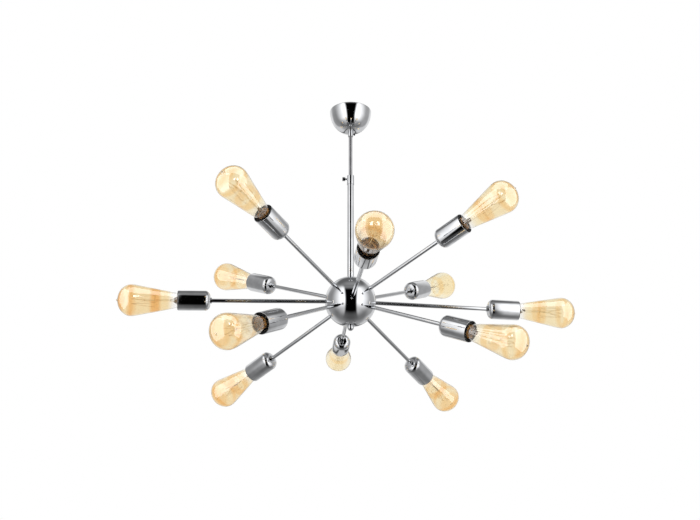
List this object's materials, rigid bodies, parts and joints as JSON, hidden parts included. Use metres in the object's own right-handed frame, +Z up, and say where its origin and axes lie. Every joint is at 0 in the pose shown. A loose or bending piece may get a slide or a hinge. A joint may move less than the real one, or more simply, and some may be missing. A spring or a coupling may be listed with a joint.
{
  "type": "sputnik chandelier",
  "caption": "Ceiling-hung chandelier: straight arms radiate from a mirror ball in all directions, each ending in a metal cup with a pear-shaped filament bulb, on a telescopic stem.",
  "frame": {"origin": "on the ceiling plane, on the stem's axis, midway between the bracket's two slots", "axes": "+Z up into the ceiling, along the stem; the front, with the clamp screw on the left, faces -Y"},
  "size_m": [0.9482, 0.9484, 0.6215],
  "materials": {
    "chrome": "mirror-polished chrome plate",
    "zinc_steel": "zinc-plated steel",
    "brass": "plain brass",
    "black_moulding": "black moulded resin, slightly glossy",
    "white_nylon": "plain white nylon",
    "amber_glass": "clear glass with a gold-amber tint"
  },
  "bodies": {
    "ceiling": {"ceiling_bracket": "zinc_steel", "rod_nuts": "zinc_steel", "earth_screw": "brass", "terminal_block": "white_nylon", "terminal_screws": "brass", "upper_rod": "chrome", "rod_stop": "zinc_steel"},
    "canopy": {"canopy_cup": "chrome", "canopy_collar": "chrome"},
    "canopy_thumbscrew": {"canopy_screw": "chrome"},
    "slider": {"tube_bush": "white_nylon"},
    "drop": {"drop_tube": "chrome", "clamp_collar": "chrome", "hub_ball": "chrome", "hub_bottom_cap": "chrome", "hub_tie_tube": "zinc_steel", "finial": "chrome", "arm_nuts": "zinc_steel", "cup_nuts": "chrome", "holder_contacts": "brass", "lamp_holders_level": "black_moulding", "lamp_holders_upper": "black_moulding", "lamp_holders_lower": "black_moulding", "arm_tube_01": "chrome", "arm_tube_02": "chrome", "arm_tube_03": "chrome", "arm_tube_04": "chrome", "arm_tube_05": "chrome", "arm_tube_06": "chrome", "arm_tube_07": "chrome", "arm_tube_08": "chrome", "arm_tube_09": "chrome", "arm_tube_10": "chrome", "arm_tube_11": "chrome", "arm_tube_12": "chrome", "socket_cup_01": "chrome", "socket_cup_02": "chrome", "socket_cup_03": "chrome", "socket_cup_04": "chrome", "socket_cup_05": "chrome", "socket_cup_06": "chrome", "socket_cup_07": "chrome", "socket_cup_08": "chrome", "socket_cup_09": "chrome", "socket_cup_10": "chrome", "socket_cup_11": "chrome", "socket_cup_12": "chrome"},
    "clamp_thumbscrew": {"clamp_screw": "chrome"},
    "bulb_01": {"bulb_01": "amber_glass"},
    "bulb_02": {"bulb_02": "amber_glass"},
    "bulb_03": {"bulb_03": "amber_glass"},
    "bulb_04": {"bulb_04": "amber_glass"},
    "bulb_05": {"bulb_05": "amber_glass"},
    "bulb_06": {"bulb_06": "amber_glass"},
    "bulb_07": {"bulb_07": "amber_glass"},
    "bulb_08": {"bulb_08": "amber_glass"},
    "bulb_09": {"bulb_09": "amber_glass"},
    "bulb_10": {"bulb_10": "amber_glass"},
    "bulb_11": {"bulb_11": "amber_glass"},
    "bulb_12": {"bulb_12": "amber_glass"}
  },
  "joints": [
    {"name": "canopy_slide", "type": "slide", "parent": "ceiling", "child": "canopy", "axis": [0, 0, 1], "range_m": [-0.045, 0]},
    {"name": "canopy_screw_turn", "type": "hinge", "parent": "canopy", "child": "canopy_thumbscrew", "pos_m": [0, 0, -0.056], "axis": [1, 0, 0], "range_deg": [0, 720]},
    {"name": "height_slide", "type": "slide", "parent": "ceiling", "child": "slider", "axis": [0, 0, 1], "range_m": [-0.11, 0.05]},
    {"name": "stem_turn", "type": "hinge", "parent": "slider", "child": "drop", "pos_m": [0, 0, -0.1662], "axis": [0, 0, 1], "range_deg": [-170, 170]},
    {"name": "clamp_screw_turn", "type": "hinge", "parent": "drop", "child": "clamp_thumbscrew", "pos_m": [0, 0, -0.1662], "axis": [-1, 0, 0], "range_deg": [0, 720]},
    {"name": "bulb_01_unscrew", "type": "slide", "parent": "drop", "child": "bulb_01", "axis": [-0.0174, -0.9992, -0.0349], "range_m": [0, 0.035]},
    {"name": "bulb_02_unscrew", "type": "slide", "parent": "drop", "child": "bulb_02", "axis": [0.9988, -0.0349, -0.0349], "range_m": [0, 0.035]},
    {"name": "bulb_03_unscrew", "type": "slide", "parent": "drop", "child": "bulb_03", "axis": [0.0349, 0.9988, -0.0349], "range_m": [0, 0.035]},
    {"name": "bulb_04_unscrew", "type": "slide", "parent": "drop", "child": "bulb_04", "axis": [-0.9988, -0.0349, -0.0349], "range_m": [0, 0.035]},
    {"name": "bulb_05_unscrew", "type": "slide", "parent": "drop", "child": "bulb_05", "axis": [0.6548, -0.6781, 0.3338], "range_m": [0, 0.035]},
    {"name": "bulb_06_unscrew", "type": "slide", "parent": "drop", "child": "bulb_06", "axis": [0.6429, 0.6894, 0.3338], "range_m": [0, 0.035]},
    {"name": "bulb_07_unscrew", "type": "slide", "parent": "drop", "child": "bulb_07", "axis": [-0.6781, 0.6548, 0.3338], "range_m": [0, 0.035]},
    {"name": "bulb_08_unscrew", "type": "slide", "parent": "drop", "child": "bulb_08", "axis": [-0.6184, -0.7114, 0.3338], "range_m": [0, 0.035]},
    {"name": "bulb_09_unscrew", "type": "slide", "parent": "drop", "child": "bulb_09", "axis": [0.6693, -0.6463, -0.3665], "range_m": [0, 0.035]},
    {"name": "bulb_10_unscrew", "type": "slide", "parent": "drop", "child": "bulb_10", "axis": [0.6345, 0.6805, -0.3665], "range_m": [0, 0.035]},
    {"name": "bulb_11_unscrew", "type": "slide", "parent": "drop", "child": "bulb_11", "axis": [-0.6579, 0.6579, -0.3665], "range_m": [0, 0.035]},
    {"name": "bulb_12_unscrew", "type": "slide", "parent": "drop", "child": "bulb_12", "axis": [-0.6104, -0.7022, -0.3665], "range_m": [0, 0.035]}
  ]
}
